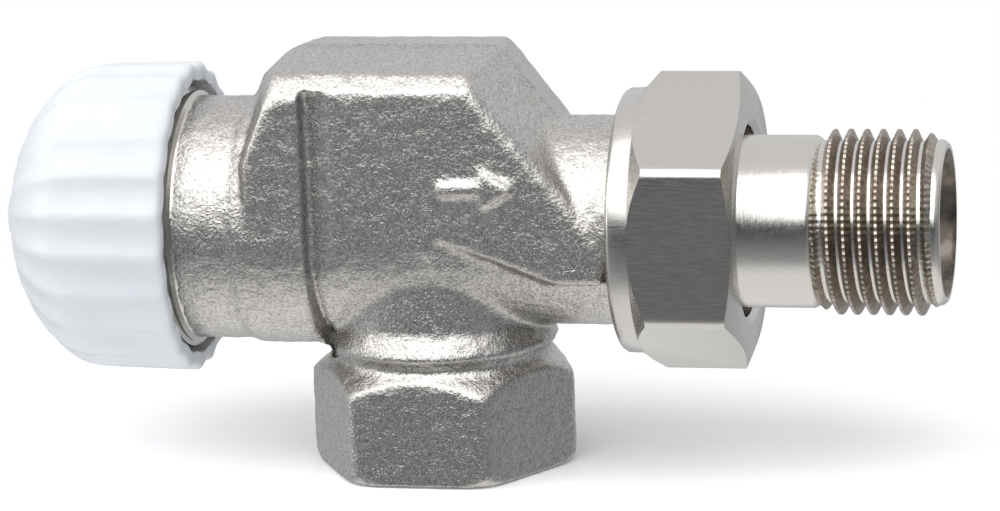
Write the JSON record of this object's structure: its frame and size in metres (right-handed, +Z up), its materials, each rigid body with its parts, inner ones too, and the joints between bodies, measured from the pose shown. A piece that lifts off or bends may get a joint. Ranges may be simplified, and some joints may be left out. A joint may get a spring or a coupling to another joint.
{
  "type": "thermostatic radiator valve",
  "caption": "Reverse-angle radiator valve with protective cap, presettable insert, threaded inlet hexagon and union tail.",
  "frame": {"origin": "centre of the inlet hexagon's lower face, where the supply pipe screws in", "axes": "+Z up along the inlet axis; the main axis runs along X 28 mm above it, the cap and insert towards -X, the union and tail towards +X"},
  "size_m": [0.1091, 0.0354, 0.0481],
  "materials": {
    "nickel_cast": "sand-cast gunmetal, nickel plated",
    "nickel_turned": "turned brass, nickel plated, satin",
    "cap_plastic": "white polypropylene, semi-gloss",
    "brass": "turned",
    "stainless": "ground stainless steel",
    "seal_rubber": "moulded EPDM",
    "dial_plastic": "moulded, matt"
  },
  "bodies": {
    "casting": {"valve_body": "nickel_cast", "insert_housing": "brass", "insert_o_ring": "seal_rubber", "stem_o_ring_outer": "seal_rubber", "stem_o_ring_inner": "seal_rubber"},
    "tail": {"tail_piece": "nickel_turned", "union_gasket": "seal_rubber"},
    "nut": {"union_nut": "nickel_turned"},
    "cap_carrier": {"cap_thrust_disc": "brass"},
    "cap": {"protective_cap": "cap_plastic"},
    "spindle_set": {"pressure_pin": "stainless", "spindle": "stainless", "spindle_circlip": "stainless", "spring_seat": "brass", "valve_plug": "brass", "seat_seal": "seal_rubber", "plug_nut": "brass"},
    "preset_set": {"presetting_stem": "brass", "presetting_dial": "dial_plastic", "dial_snap_ring": "stainless", "gland_screw": "brass", "gland_o_ring": "seal_rubber", "return_spring": "stainless"}
  },
  "joints": [
    {"name": "tail_travel", "type": "slide", "parent": "casting", "child": "tail", "axis": [1, 0, 0], "range_m": [0, 0.00907]},
    {"name": "nut_turn", "type": "hinge", "parent": "tail", "child": "nut", "pos_m": [0.03, 0, 0.028], "axis": [1, 0, 0], "range_deg": [0, 1800]},
    {"name": "cap_travel", "type": "slide", "parent": "casting", "child": "cap_carrier", "axis": [-1, 0, 0], "range_m": [0, 0.009]},
    {"name": "cap_turn", "type": "hinge", "parent": "cap_carrier", "child": "cap", "pos_m": [-0.04, 0, 0.028], "axis": [-1, 0, 0], "range_deg": [0, 2160]},
    {"name": "pin_stroke", "type": "slide", "parent": "casting", "child": "spindle_set", "axis": [1, 0, 0], "range_m": [0, 0.003], "stiffness_N_per_m": 4000, "deforming": ["return_spring"]},
    {"name": "preset_turn", "type": "hinge", "parent": "casting", "child": "preset_set", "pos_m": [-0.037, 0, 0.028], "axis": [-1, 0, 0], "range_deg": [0, 315]}
  ],
  "couplings": [
    {"joint": "nut_turn", "follows": "tail_travel", "rad_per_m": 3463.7},
    {"joint": "cap_turn", "follows": "cap_travel", "rad_per_m": 4188.8}
  ]
}
